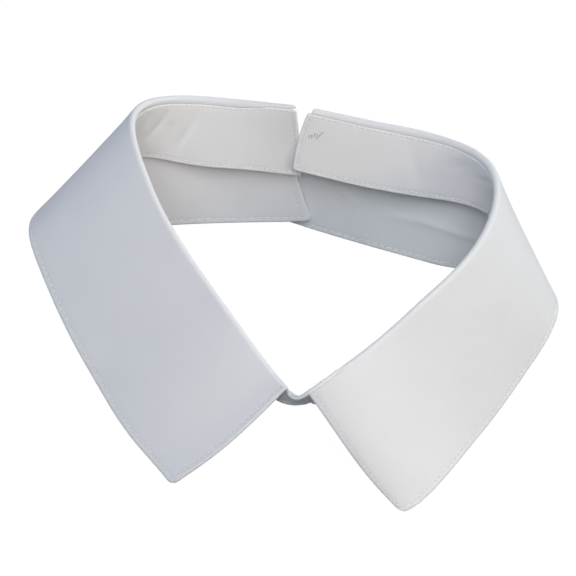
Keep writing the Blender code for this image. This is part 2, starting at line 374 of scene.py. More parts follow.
    def fall_line(
        self, curve: RowCurve, place: np.ndarray
    ) -> tuple[np.ndarray, np.ndarray, np.ndarray, np.ndarray]:
        """A leaf's section: where it leaves the roll, which way, its edge and the roll's middle.

        Args:
            curve: The leaf's own curve.
            place: Lengths run along the fold.

        Returns:
            Start, direction, end and the roll's middle, in the tables' frame.
        """
        fold, out = self.frame(place)
        up = np.zeros_like(fold)
        up[..., 2] = 1.0
        middle = fold - up * (self.cloth / 2 + self.roll)
        edge = self.leaf_edge(curve, place)
        chord = edge - middle - out * self.roll
        side = unit(np.concatenate([dot(chord, out), chord[..., 2:3]], axis=-1))
        turn = self.leaf_belly
        side_x = side[..., :1] * math.cos(turn) - side[..., 1:] * math.sin(turn)
        side_z = side[..., :1] * math.sin(turn) + side[..., 1:] * math.cos(turn)
        start = middle + self.roll * (-out * side_z + up * side_x)
        line = unit(edge - start)
        outward = unit(out - line * dot(out, line))
        return start, line * math.cos(turn) + outward * math.sin(turn), edge, middle

    def leaf_point(self, curve: RowCurve, place: np.ndarray, share: np.ndarray) -> np.ndarray:
        """Points on the middle of a leaf.

        Args:
            curve: The leaf's own curve.
            place: Lengths run along the fold.
            share: From the lip inside, -1, over the roll to its outer end, 0, and on down the
                fall to the lower edge, 1.

        Returns:
            The points, in the solids' frame.
        """
        start, way, edge, middle = self.fall_line(curve, place)
        fall = bowed(start, way, edge, np.maximum(share, 0.0))
        out = self.frame(place)[1]
        inner = self.band_line(place)[0]
        drop = -self.cloth / 2 - self.roll
        leaves = start - middle
        first = np.mod(np.arctan2(inner[..., 1] - drop, inner[..., 0]), math.tau)
        last = np.arctan2(leaves[..., 2], dot(leaves, out)[..., 0])
        arc = self.roll * (first - last)
        run = -np.minimum(share, 0.0) * (arc + self.seam(place))
        lip = self.inside(place, run - arc)
        angle = last + np.minimum(run, arc) / self.roll
        up = np.zeros_like(out)
        up[..., 2] = 1.0
        roll = middle + self.roll * (out * np.cos(angle)[..., None] + up * np.sin(angle)[..., None])
        roll = np.where((run > arc)[..., None], lip, roll)
        return np.where((share > 0)[..., None], fall, roll) - PLAN_MIDDLE


@dataclass(frozen=True)
class Crease:
    """A soft ridge, or a trough where it is below nought, along a line on the flat cloth.

    Its path is in millimetres along the piece and down from the fold. It fades to its ends.
    """

    path: tuple[tuple[float, float], ...]
    height: float
    width: float

    def lift(self, along: np.ndarray, down: np.ndarray) -> np.ndarray:
        """How far the crease lifts the cloth.

        Args:
            along: Places along the piece.
            down: Depths below the fold.

        Returns:
            The lift in millimetres.
        """
        path = np.array(self.path, float)
        runs = np.linalg.norm(np.diff(path, axis=0), axis=1)
        total = runs.sum()
        best = np.full(along.shape, 1e9)
        where = np.zeros(along.shape)
        done = 0.0
        for (a, b), run in zip(zip(path, path[1:]), runs):
            way = (b - a) / run
            t = np.clip((along - a[0]) * way[0] + (down - a[1]) * way[1], 0, run)
            gap = np.hypot(along - a[0] - way[0] * t, down - a[1] - way[1] * t)
            nearer = gap < best
            best = np.where(nearer, gap, best)
            where = np.where(nearer, done + t, where)
            done += run
        fade = np.sin(math.pi * np.clip(where / total, 0, 1)) ** 0.7
        return self.height * fade * np.exp(-((best / self.width) ** 2))


def ripple(along: np.ndarray, down: np.ndarray, seed: float) -> np.ndarray:
    """A slow unevenness of pressed cloth, between -1 and 1.

    Args:
        along: Places along the piece.
        down: Depths below the fold.
        seed: Moves the pattern, so that two pieces differ.

    Returns:
        The unevenness.
    """
    x, y = along + 37.0 * seed, down + 11.0 * seed
    return (
        0.42 * np.sin(0.083 * x + 0.061 * y + seed)
        + 0.27 * np.sin(0.19 * x - 0.13 * y + 2.3 * seed)
        + 0.19 * np.sin(0.31 * x + 0.27 * y - 1.7 * seed)
        + 0.12 * np.sin(0.071 * x - 0.39 * y + 0.6 * seed)
    )


@dataclass(frozen=True)
class Corner:
    """A rounded corner of a piece, at its first or last end and at its lower or upper edge."""

    last_end: bool
    lower: bool
    radius: float


@dataclass
class Panel:
    """A sewn piece of the collar: its flat cut, its relief and the shell made from them.

    Flat places are in millimetres: along runs from the piece's first end and down runs from
    its upper edge. A rolled stretch above that edge has places below nought.
    """

    name: str
    slot: str
    drape: Drape
    length: float = field(init=False)
    inset: float = 0.3
    row_in: float = 2.0
    top_row_in: float = 0.85
    thinned: float = 0.16
    corners: tuple[Corner, ...] = ()
    creases: tuple[Crease, ...] = ()
    waviness: float = 0.12
    seed: float = 1.0
    grid_size: tuple[int, int] = (400, 92)
    groove: float = 0.1
    pucker: float = 0.035
    pitch: float = 1.9
    upper_is_free: bool = False
    rolled: float = 0.0
    held: str = "folded"
    rests_on: tuple[str, ...] = ()

    def depth(self, along: np.ndarray) -> np.ndarray:
        """The cut's depth at places along it."""
        raise NotImplementedError

    def middle(self, along: np.ndarray, down: np.ndarray) -> np.ndarray:
        """Points of the draped cloth's middle, before its relief."""
        raise NotImplementedError

    def edge_distance(self, along: np.ndarray, down: np.ndarray) -> np.ndarray:
        """How far flat places are from the nearest free edge.

        Args:
            along: Places along the piece.
            down: Depths below its upper edge.

        Returns:
            The distances in millimetres.
        """
        foot = self.depth(along) - down
        ends = np.minimum(along, self.length - along)
        nearest = np.minimum(ends, foot)
        if self.upper_is_free:
            nearest = np.minimum(nearest, down)
        for corner in self.corners:
            a = self.length - along if corner.last_end else along
            b = foot if corner.lower else down
            r = corner.radius
            inside = (a < r) & (b < r)
            nearest = np.where(inside, r - np.hypot(r - a, r - b), nearest)
        return nearest

    def off_row(self, along: np.ndarray, down: np.ndarray) -> np.ndarray:
        """How far in from the row of stitches flat places are; less than nought is outside it.

        Args:
            along: Places along the piece.
            down: Depths below its upper edge.

        Returns:
            The distances in millimetres, which grow on the roll, where nothing is sewn.
        """
        inside = np.minimum(along, self.length - along) - self.row_in
        inside = np.minimum(inside, self.depth(along) - down - self.row_in)
        if self.upper_is_free:
            inside = np.minimum(inside, down - self.top_row_in)
        return np.where(down < 0, np.abs(inside) - 3.0 * down, inside)

    def relief(self, along: np.ndarray, down: np.ndarray) -> np.ndarray:
        """How far the whole cloth is lifted off its smooth drape.

        Args:
            along: Places along the piece.
            down: Depths below its upper edge.

        Returns:
            The lift towards its face, in millimetres.
        """
        lift = self.waviness * ripple(along, down, self.seed)
        for crease in self.creases:
            lift = lift + crease.lift(along, down)
        return lift

    def face_relief(self, along: np.ndarray, down: np.ndarray) -> np.ndarray:
        """The pull of the stitches, the thin edge and the turned-in allowance, on each face.

        Args:
            along: Places along the piece.
            down: Depths below its upper edge.

        Returns:
            The lift off that face, in millimetres.
        """
        edge = self.edge_distance(along, down)
        off = self.off_row(along, down)
        pull = -self.groove * np.exp(-((off / 0.55) ** 2))
        run = along + down
        beat = np.sin(math.tau * run / self.pitch) * (0.6 + 0.4 * np.sin(0.41 * run + self.seed))
        slow = np.sin(0.83 * run + 2.0 * np.sin(0.17 * run + self.seed))
        near_row = np.exp(-(((off + self.row_in * 0.25) / (0.8 * self.row_in)) ** 2))
        puckers = self.pucker * (beat + 0.8 * slow) * near_row
        pillow = 0.05 * np.exp(-(((off + self.row_in * 0.5) / 0.7) ** 2))
        thin_edge = -self.thinned * np.exp(-np.maximum(edge, 0.0) / 0.45)
        allowance = 0.035 / (1 + np.exp((edge - 6.5) / 0.35))
        return pull + puckers + pillow + thin_edge + allowance

    def normals(self, along: np.ndarray, down: np.ndarray) -> np.ndarray:
        """The directions that the piece's face looks in.

        Args:
            along: Places along the piece.
            down: Depths below its upper edge.

        Returns:
            Unit vectors.
        """
        step = 0.2
        across = self.middle(along + step, down) - self.middle(along - step, down)
        falling = self.middle(along, down + step) - self.middle(along, down - step)
        return unit(np.cross(across, falling)) * self.facing()

    def facing(self) -> float:
        """Turns the piece's face outwards."""
        return -1.0

    def surface(
        self, along: np.ndarray, down: np.ndarray, side: Side, lift: float | np.ndarray = 0.0
    ) -> tuple[np.ndarray, np.ndarray]:
        """Points on one face of the piece.

        Args:
            along: Places along the piece.
            down: Depths below its upper edge.
            side: Which face.
            lift: How far off that face, in millimetres.

        Returns:
            The points, and the directions off that face.
        """
        normal = self.normals(along, down)
        half = self.drape.cloth / 2 + self.face_relief(along, down) + lift
        height = self.relief(along, down) + side.value * half
        return self.middle(along, down) + normal * height[..., None], normal * side.value

    def layout(self) -> tuple[np.ndarray, np.ndarray]:
        """Lays the grid out on the flat cut, with its corners rounded.

        Returns:
            Places along and down, one row of the grid for each place along.
        """
        count, rise = self.grid_size
        ends = np.linspace(self.inset, self.length - self.inset, count)
        foot = self.depth(ends) - self.inset
        top = self.inset if self.upper_is_free else 0.0
        share = np.linspace(0.0, 1.0, rise)
        down = top + (foot - top)[:, None] * share[None, :]
        if self.rolled:
            roll = np.linspace(-self.rolled, 0.0, 13)[:-1]
            down = np.concatenate([np.broadcast_to(roll, (count, len(roll))), down], axis=1)
        along = np.broadcast_to(ends[:, None], down.shape).copy()
        for corner in self.corners:
            a = (self.length - along if corner.last_end else along) - self.inset
            b = (self.depth(along) - down if corner.lower else down) - self.inset
            r = corner.radius - self.inset
            inside = (a < r) & (b < r)
            x, y = np.clip((r - a) / r, 0, 1), np.clip((r - b) / r, 0, 1)
            new_a = r - r * x * np.sqrt(1 - y**2 / 2)
            new_b = r - r * y * np.sqrt(1 - x**2 / 2)
            shift_a = np.where(inside, new_a - a, 0.0)
            shift_b = np.where(inside, new_b - b, 0.0)
            along = along + (-shift_a if corner.last_end else shift_a)
            down = down + (-shift_b if corner.lower else shift_b)
        return along, down

    def build(self) -> bpy.types.Object:
        """Makes the closed shell: two faces and a rounded rim.

        Returns:
            The piece, riding on the part's body.
        """
        along, down = self.layout()
        face, normal = self.surface(along, down, Side.FACE)
        back, _ = self.surface(along, down, Side.BACK)
        count, rise = along.shape
        loop = (
            [(i, 0) for i in range(count)]
            + [(count - 1, j) for j in range(1, rise)]
            + [(i, rise - 1) for i in range(count - 2, -1, -1)]
            + [(0, j) for j in range(rise - 2, 0, -1)]
        )
        rows, columns = np.array(loop).T
        rim_face, rim_back = face[rows, columns], back[rows, columns]
        centre, half = (rim_face + rim_back) / 2, (rim_face - rim_back) / 2
        tangent = unit(np.roll(centre, -1, axis=0) - np.roll(centre, 1, axis=0))
        outward = unit(np.cross(tangent, normal[rows, columns]))
        inside = centre - face[count // 2, rise // 2]
        outward *= np.sign(np.mean(np.sum(outward * inside, axis=-1)) or 1.0)
        points = [face.reshape(-1, 3), back.reshape(-1, 3)]
        flats = [np.stack([along, down], axis=-1).reshape(-1, 2)] * 2
        angles = (math.pi / 4, math.pi / 2, 3 * math.pi / 4)
        for angle in angles:
            points.append(
                centre + half * math.cos(angle) + outward * self.inset * math.sin(angle)
            )
            flats.append(np.stack([along[rows, columns], down[rows, columns]], axis=-1))
        vertices = np.concatenate(points)
        vertices[:, 2] = np.maximum(vertices[:, 2], 0.02)
        flat = np.concatenate(flats)

        index = np.arange(count * rise).reshape(count, rise)
        quads = np.stack(
            [index[:-1, :-1], index[1:, :-1], index[1:, 1:], index[:-1, 1:]], axis=-1
        ).reshape(-1, 4)
        size = count * rise
        rings = [index[rows, columns]]
        rings += [2 * size + k * len(loop) + np.arange(len(loop)) for k in range(len(angles))]
        rings.append(size + index[rows, columns])
        faces = [quads[:, ::-1], quads + size]
        for near, far in zip(rings, rings[1:]):
            faces.append(
                np.stack([near, np.roll(near, -1), np.roll(far, -1), far], axis=-1)
            )
        mesh = mesh_from(self.name, vertices, np.concatenate(faces))
        layer = mesh.uv_layers.new(name="cut")
        corners = np.zeros(len(mesh.loops), np.int32)
        mesh.loops.foreach_get("vertex_index", corners)
        layer.data.foreach_set("uv", (flat[corners] / 10).astype(np.float32).ravel())
        flat_along, flat_down = flat.T
        counts = self.row_count(flat_along, flat_down)
        sewn = np.stack([counts, self.off_row(flat_along, flat_down)], axis=-1)
        layer = mesh.uv_layers.new(name="row")
        layer.data.foreach_set("uv", sewn[corners].astype(np.float32).ravel())
        piece = place(mesh, self.slot)
        return piece

    def row(self) -> tuple[np.ndarray, np.ndarray, float]:
        """The line that the stitches follow on the flat cut, down one end, along and up.

        Returns:
            Its points, the length run to each, and the length of one stitch.
        """
        inset = self.row_in
        along = np.linspace(inset, self.length - inset, 300)
        foot = np.stack([along, self.depth(along) - inset], axis=-1)
        top = self.top_row_in if self.upper_is_free else 0.0
        path = [[inset, top], *foot.tolist(), [self.length - inset, top]]
        if self.upper_is_free:
            path.append([inset, top])
        path = np.array(path)
        runs = np.concatenate([[0], np.cumsum(np.hypot(*np.diff(path, axis=0).T))])
        return path, runs, runs[-1] / int(runs[-1] / self.pitch)

    def row_count(self, along: np.ndarray, down: np.ndarray) -> np.ndarray:
        """How many stitches the row has run when it passes nearest to flat places.

        Args:
            along: Places along the piece.
            down: Depths below its upper edge.

        Returns:
            The counts, where each whole number is a needle hole.
        """
        path, runs, stitch = self.row()
        foot = self.depth(along)
        ways = [along - self.row_in, self.length - along - self.row_in, foot - down - self.row_in]
        runs_there = [
            down - path[0, 1],
            runs[301] - down + path[0, 1],
            np.interp(along, path[1:301, 0], runs[1:301]),
        ]
        if self.upper_is_free:
            ways.append(down - self.top_row_in)
            runs_there.append(runs[301] + path[301, 0] - along)
        nearest = np.argmin(np.array(ways), axis=0)
        return np.choose(nearest, runs_there) / stitch

    def stitches(self, finish: bpy.types.Material) -> bpy.types.Object:
        """Sews the rows: each stitch is a short thread that dips in at both ends.

        Args:
            finish: The thread's material.

        Returns:
            All the stitches of the piece, as one object.
        """
        rise = np.array([-0.16, 0.0, 0.06, 0.075, 0.06, 0.0, -0.16])
        spread = np.array([-0.5, -0.43, -0.25, 0.0, 0.25, 0.43, 0.5])
        path, runs, stitch = self.row()
        middles = np.arange(0.5, runs[-1] / stitch - 0.4) * stitch
        jitter = 0.04 * np.sin(middles * 3.7) + 0.03 * np.sin(middles * 1.3 + self.seed)
        along_row = middles[:, None] + spread[None, :] * stitch * 0.86
        flat_a = np.interp(along_row, runs, path[:, 0]) + jitter[:, None] * 0.5
        flat_d = np.interp(along_row, runs, path[:, 1]) + jitter[:, None] * 0.5
        strands = []
        for side in Side:
            at, off = self.surface(flat_a, flat_d, side, rise[None, :])
            strands.append((at, off))
        mesh = threads(self.name + "_stitches", strands)
        mesh.materials.append(finish)
        return place(mesh, self.slot)


LEFT_CREASES: tuple[Crease, ...] = (
    Crease(((60, 8), (66, 20), (70, 32)), 0.12, 4.0),
    Crease(((118, 10), (121, 22), (119, 33)), -0.1, 4.5),
    Crease(((17, 7), (20, 19), (18, 33)), 0.16, 2.6),
    Crease(((31, 10), (28, 25)), -0.14, 2.2),
)
RIGHT_CREASES: tuple[Crease, ...] = (
    Crease(((160, 37), (146.6, 35.4), (140, 36.6), (135, 37.4), (125, 38.2)), -0.3, 1.8),
    Crease(((173, 30), (164.9, 36.2)), -0.2, 1.5),
    Crease(((62, 10), (74, 19), (82, 31)), 0.12, 4.0),
    Crease(((92, 8), (97, 20), (104, 29)), -0.12, 4.0),
    Crease(((34, 12), (40, 24)), 0.1, 4.0),
)
BAND_CREASES: tuple[Crease, ...] = (
    Crease(((33.5, 1.5), (35.8, 6.7), (38.3, 11.0), (41.3, 15.3), (44.5, 21.0)), 0.42, 1.5),
    Crease(((45, 2.0), (48.4, 8.4), (50.9, 11.5), (54.0, 15.5)), 0.3, 1.4),
    Crease(((53.4, 1.6), (54.5, 9.0)), 0.2, 1.0),
    Crease(((43.2, 1.2), (43.9, 9.0)), -0.22, 1.2),
    Crease(((342.4, 1.2), (338.9, 9.1), (333.8, 17.5)), 0.3, 2.8),
    Crease(((317, 8.5), (309.5, 5.5), (300.2, 1.0)), 0.17, 1.0),
    Crease(((328, 8.6), (318, 3.6)), 0.18, 1.8),
    Crease(((92, 4), (96, 10), (97, 17)), 0.25, 1.8),
    Crease(((131, 3), (128, 9), (130, 15)), 0.2, 1.5),
    Crease(((166, 3), (171, 7)), -0.15, 1.5),
    Crease(((212, 4), (207, 9)), 0.2, 1.6),
    Crease(((238, 3), (242, 11), (240, 17)), 0.26, 1.9),
    Crease(((272, 5), (268, 12)), -0.2, 1.7),
)


@dataclass
class Leaf(Panel):
    """A leaf of the collar: its roll over the fold and its fall to the pointed end."""

    curve: RowCurve | None = None
    span: tuple[float, float] = (0.0, 1.0)
    edges: tuple[Edge, Edge] = (Edge(0.0, 1.0), Edge(0.0, 1.0))
    rolled: float = 3.9

    def __post_init__(self) -> None:
        """Measures the cut along the drape."""
        self.length = self.span[1] - self.span[0]
        self._places = np.linspace(0, self.length, 160)
        start, _, edge, _ = self.drape.fall_line(self.curve, self.span[0] + self._places)
        self._depths = np.linalg.norm(edge - start, axis=-1)

    def depth(self, along: np.ndarray) -> np.ndarray:
        """The cut's depth at places along it."""
        return np.interp(along, self._places, self._depths)

    def middle(self, along: np.ndarray, down: np.ndarray) -> np.ndarray:
        """Points of the leaf's middle, before its relief.

        Args:
            along: Places along the leaf.
            down: Depths below the roll's outer end; less than nought on the roll.

        Returns:
            The points.
        """
        share = np.where(down > 0, down / self.depth(along), down / self.rolled)
        first = self.span[0] - self.edges[0].reach(share)
        last = self.span[1] + self.edges[1].reach(share)
        place_on = first + (last - first) * along / self.length
        return self.drape.leaf_point(self.curve, place_on, share)


@dataclass
class Band(Panel):
    """The band that goes round the neck, in one piece from end to end."""

    left_end: tuple[float, float] = (0.5, 2.9)
    right_end: tuple[float, float] = (2.2, 5.9)
    end_bows: tuple[float, float] = (0.35, 0.75)
    row_in: float = 1.5
    thinned: float = 0.07
    upper_is_free: bool = True
    mark: tuple[tuple[float, float, float, float], ...] = (
        (375.5, 7.8, 375.1, 9.0), (374.8, 7.5, 374.2, 8.9), (374.1, 6.6, 373.4, 8.0),
        (373.3, 6.5, 372.6, 7.7), (373.1, 7.8, 372.4, 8.8), (375.2, 7.6, 374.1, 7.9),
        (372.3, 7.9, 371.8, 6.6), (371.9, 6.8, 371.1, 5.3),
    )

    def __post_init__(self) -> None:
        """Measures the cut along the drape."""
        self.first, self.last = self.drape.left_span[0], self.drape.right_span[1]
        self.length = self.last - self.first
        self._places = np.linspace(0, self.length, 1200)
        start, _, foot = self.drape.band_line(self.first + self._places)
        height = np.linalg.norm(foot - start, axis=-1)
        seam = self.drape.seam(self.first + self._places)
        self._depths = height - seam - self.drape.seam_gap

    def depth(self, along: np.ndarray) -> np.ndarray:
        """The cut's depth at places along it."""
        return np.interp(along, self._places, self._depths)

    def middle(self, along: np.ndarray, down: np.ndarray) -> np.ndarray:
        """Points of the band's middle, before its relief.

        Args:
            along: Places along the band.
            down: Depths below its upper edge.

        Returns:
            The points.
        """
        share = down / self.depth(along)
        bow = np.sin(math.pi * np.clip(share, 0, 1))
        left, right = (
            end[0] + (end[1] - end[0]) * share + most * bow
            for end, most in zip((self.left_end, self.right_end), self.end_bows)
        )
        first, last = self.first - left, self.last + right
        return self.drape.band_point(first + (last - first) * along / self.length, share)

    def button_mark(self, finish: bpy.types.Material) -> bpy.types.Object:
        """Sews the threads of the button where they come through on the inner face.

        Args:
            finish: The thread's material.

        Returns:
            The threads, as one object.
        """
        share = np.linspace(0.0, 1.0, 7)
        strokes = np.array(self.mark)
        starts = strokes[:, :2]
        way = strokes[:, 2:] - starts
        bend = np.stack([-way[:, 1], way[:, 0]], axis=-1) * 0.08
        flat = (
            starts[:, None]
            + way[:, None] * share[None, :, None]
            + bend[:, None] * np.sin(math.pi * share)[None, :, None]
        )
        rise = -0.14 + 0.24 * np.sin(math.pi * share) ** 0.6
        at, off = self.surface(flat[..., 0], flat[..., 1], Side.BACK, rise[None, :])
        mesh = threads(self.name + "_button_mark", [(at, off)], wide=0.16, high=0.12)
        mesh.materials.append(finish)
        return place(mesh, self.slot)


def mesh_from(name: str, points: np.ndarray, faces: np.ndarray) -> bpy.types.Mesh:
    """Makes a smooth mesh from points in millimetres.

    Args:
        name: The mesh's name.
        points: Its points.
        faces: Four point numbers for each face.

    Returns:
        The mesh, in metres.
    """
    mesh = bpy.data.meshes.new(name)
    mesh.vertices.add(len(points))
    mesh.vertices.foreach_set("co", (points * MM).astype(np.float32).ravel())
    mesh.loops.add(faces.size)
    mesh.loops.foreach_set("vertex_index", faces.astype(np.int32).ravel())
    mesh.polygons.add(len(faces))
    mesh.polygons.foreach_set("loop_start", np.arange(0, faces.size, 4, dtype=np.int32))
    mesh.update(calc_edges=True)
    mesh.validate()
    mesh.shade_smooth()
    return mesh


def threads(
    name: str,
    strands: list[tuple[np.ndarray, np.ndarray]],
    wide: float = 0.15,
    high: float = 0.1,
) -> bpy.types.Mesh:
    """Makes lengths of thread, as tubes of six sides.

    Args:
        name: The mesh's name.
        strands: For each set of threads, the points along every one and the directions off
            the cloth there.
        wide: Half a thread's width.
        high: Half its height.

    Returns:
        The mesh.
    """
    ring = np.arange(6) / 6 * math.tau
    points, faces, start = [], [], 0
    for at, off in strands:
        beside = unit(np.cross(unit(np.gradient(at, axis=1)), off))
        loops = (
            at[:, :, None]
            + beside[:, :, None] * wide * np.cos(ring)[None, None, :, None]
            + off[:, :, None] * high * np.sin(ring)[None, None, :, None]
        )
        points.append(loops.reshape(-1, 3))
        count, steps = at.shape[:2]
        grid = start + np.arange(count * steps * 6).reshape(count, steps, 6)
        turned = np.roll(grid, -1, axis=2)
        sides = [grid[:, :-1], turned[:, :-1], turned[:, 1:], grid[:, 1:]]
        faces.append(np.stack(sides, axis=-1).reshape(-1, 4))
        for end in (grid[:, 0, ::-1], grid[:, -1]):
            faces.append(np.concatenate([end[:, [0, 1, 2, 3]], end[:, [0, 3, 4, 5]]]))
        start += count * steps * 6
    return mesh_from(name, np.concatenate(points), np.concatenate(faces))


def button_threads(button: bpy.types.Object, finish: bpy.types.Material) -> bpy.types.Object:
    """Sews the button on with two pairs of strands, side by side over its four holes.

    Args:
        button: The button.
        finish: The thread's material.

    Returns:
        The strands, as one object.
    """
    corners = np.array([button.matrix_world @ v.co for v in button.data.vertices]) / MM
    middle = (corners.min(axis=0) + corners.max(axis=0)) / 2
    spread = corners - middle
    ways = np.linalg.eigh(spread.T @ spread)[1]
    axis, flat_x = ways[:, 0] * np.sign(ways[:, 0] @ middle), ways[:, 2]
    flat_y = np.cross(axis, flat_x)
    spots = spread @ flat_x + 1j * (spread @ flat_y)
    holes = spots[(np.abs(spots) > 0.5) & (np.abs(spots) < 2.2)]
    turn = np.angle(np.sum(holes**4)) / 4 + math.pi / 4
    beside = flat_x * math.cos(turn) + flat_y * math.sin(turn)
    across = np.cross(axis, beside)
    reach = np.array([-0.95, -0.86, -0.5, 0.0, 0.5, 0.86, 0.95])[:, None]
    rise = np.array([-0.3, 0.34, 0.47, 0.5, 0.47, 0.34, -0.3])[:, None]
    at = np.array(
        [
            middle + beside * (row + shift) + across * reach + axis * rise
            for row in (-0.95, 0.95)
            for shift in (-0.15, 0.15)
        ]
    )
    mesh = threads("button_thread", [(at, np.broadcast_to(axis, at.shape))], wide=0.14, high=0.12)
    mesh.materials.append(finish)
    return place(mesh, "button")


def place(mesh: bpy.types.Mesh, slot: str) -> bpy.types.Object:
    """Puts a mesh in the scene as a piece that rides on the part.

    Args:
        mesh: The mesh, in metres.
        slot: Not used.

    Returns:
        The piece.
    """
    piece = bpy.data.objects.new(mesh.name, mesh)
    bpy.context.scene.collection.objects.link(piece)
    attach(piece, "root")
    return piece


class NodeLayer:
    """Short ways to add and join nodes of one tree."""

    def __init__(self, tree: bpy.types.NodeTree) -> None:
        """Keeps the tree to add to."""
        self.tree = tree

    def add(self, kind: str, inputs: dict | None = None, **settings: object) -> bpy.types.Node:
        """Adds a node and sets or joins its inputs.

        Args:
            kind: The node's type.
            inputs: A value or an output socket for each input, by name or number.
            settings: The node's own settings.

        Returns:
            The node.
        """
        node = self.tree.nodes.new(kind)
        for name, value in settings.items():
            setattr(node, name, value)
        for name, value in (inputs or {}).items():
            if isinstance(value, bpy.types.NodeSocket):
                self.tree.links.new(value, node.inputs[name])
            else:
                node.inputs[name].default_value = value
        return node

    def math(self, operation: str, *values: object) -> bpy.types.NodeSocket:
        """Adds a Math node.

        Args:
            operation: Its operation.
            values: Numbers or output sockets.

        Returns:
            Its output.
        """
        inputs = dict(enumerate(values))
        return self.add("ShaderNodeMath", inputs, operation=operation).outputs[0]


def new_group(name: str, inputs: dict[str, str], outputs: dict[str, str]) -> bpy.types.NodeTree:
    """Makes an empty shader node group.

    Args:
        name: The group's name.
        inputs: The kind of socket for each input name.
        outputs: The kind of socket for each output name.

    Returns:
        The group, with its input and output nodes in it.
    """
    group = bpy.data.node_groups.new(name, "ShaderNodeTree")
    for label, kind in inputs.items():
        group.interface.new_socket(name=label, in_out="INPUT", socket_type=kind)
    for label, kind in outputs.items():
        group.interface.new_socket(name=label, in_out="OUTPUT", socket_type=kind)
    group.nodes.new("NodeGroupInput").name = "in"
    group.nodes.new("NodeGroupOutput").name = "out"
    return group


def needle_group() -> bpy.types.NodeTree:
    """Makes the needle holes of a row of stitches.

    Returns:
        A group with the inputs Row, Pitch, Length and Width and the output Hole, 1 in a hole.
    """
    group = new_group(
        "needle_holes",
        {
            "Row": "NodeSocketVector",
            "Pitch": "NodeSocketFloat",
            "Length": "NodeSocketFloat",
            "Width": "NodeSocketFloat",
        },
        {"Hole": "NodeSocketFloat"},
    )
    layer = NodeLayer(group)
    source = group.nodes["in"].outputs
    split = layer.add("ShaderNodeSeparateXYZ", {0: source["Row"]}).outputs
    turn = layer.math("ABSOLUTE", layer.math("SUBTRACT", layer.math("FRACT", split[0]), 0.5))
    run = layer.math("MULTIPLY", layer.math("SUBTRACT", 0.5, turn), source["Pitch"])
    along = layer.math("DIVIDE", run, source["Length"])
    across = layer.math("DIVIDE", split[1], source["Width"])
    squares = layer.math("ADD", layer.math("POWER", along, 2.0), layer.math("MULTIPLY", across, across))
    away = layer.math("SQRT", squares)
    hole = layer.add("ShaderNodeMapRange", {0: away, 1: 1.0, 2: 0.35, 3: 0.0, 4: 1.0}, clamp=True)
    group.links.new(hole.outputs[0], group.nodes["out"].inputs["Hole"])
    return group


def weave_group() -> bpy.types.NodeTree:
    """Makes the plain weave: threads that pass over and under each other, a little uneven.

    Returns:
        A group with the inputs Vector and Pitch and the output Height, from 0 to 1.
    """
    group = new_group(
        "plain_weave",
        {"Vector": "NodeSocketVector", "Pitch": "NodeSocketFloat"},
        {"Height": "NodeSocketFloat", "Slub": "NodeSocketFloat"},
    )
    layer = NodeLayer(group)
    source = group.nodes["in"].outputs
    split = layer.add("ShaderNodeSeparateXYZ", {0: source["Vector"]}).outputs
    drift = layer.add(
        "ShaderNodeTexNoise", {"Vector": source["Vector"], "Scale": 9.0, "Detail": 2.0}
    ).outputs[0]
    wander = layer.math("MULTIPLY", layer.math("SUBTRACT", drift, 0.5), 0.9)
    threads = []
    for axis in (0, 1):
        count = layer.math("DIVIDE", split[axis], source["Pitch"])
        threads.append(layer.math("ADD", count, wander))
    humps = [
        layer.math("ABSOLUTE", layer.math("SINE", layer.math("MULTIPLY", t, math.pi)))
        for t in threads
    ]
    cells = [layer.math("FLOOR", t) for t in threads]
    over = layer.math("PINGPONG", layer.math("ADD", *cells), 1.0)
    warp = layer.math("MULTIPLY", humps[0], layer.math("MULTIPLY_ADD", humps[1], 0.5, 0.5))
    weft = layer.math("MULTIPLY", humps[1], layer.math("MULTIPLY_ADD", humps[0], 0.5, 0.5))
    woven = layer.add("ShaderNodeMix", {0: over, 2: warp, 3: weft}, data_type="FLOAT")
    slubs = []
    for stretch in ((0.6, 14.0, 1.0), (14.0, 0.6, 1.0)):
        spread = layer.add(
            "ShaderNodeVectorMath", {0: source["Vector"], 1: stretch}, operation="MULTIPLY"
        )
        slubs.append(
            layer.add(
                "ShaderNodeTexNoise", {"Vector": spread.outputs[0], "Scale": 1.6, "Detail": 1.0}
            ).outputs[0]
        )
    slub = layer.math("MULTIPLY", layer.math("ADD", *slubs), 0.5)
    target = group.nodes["out"].inputs
    group.links.new(woven.outputs[0], target["Height"])
    group.links.new(slub, target["Slub"])
    return group


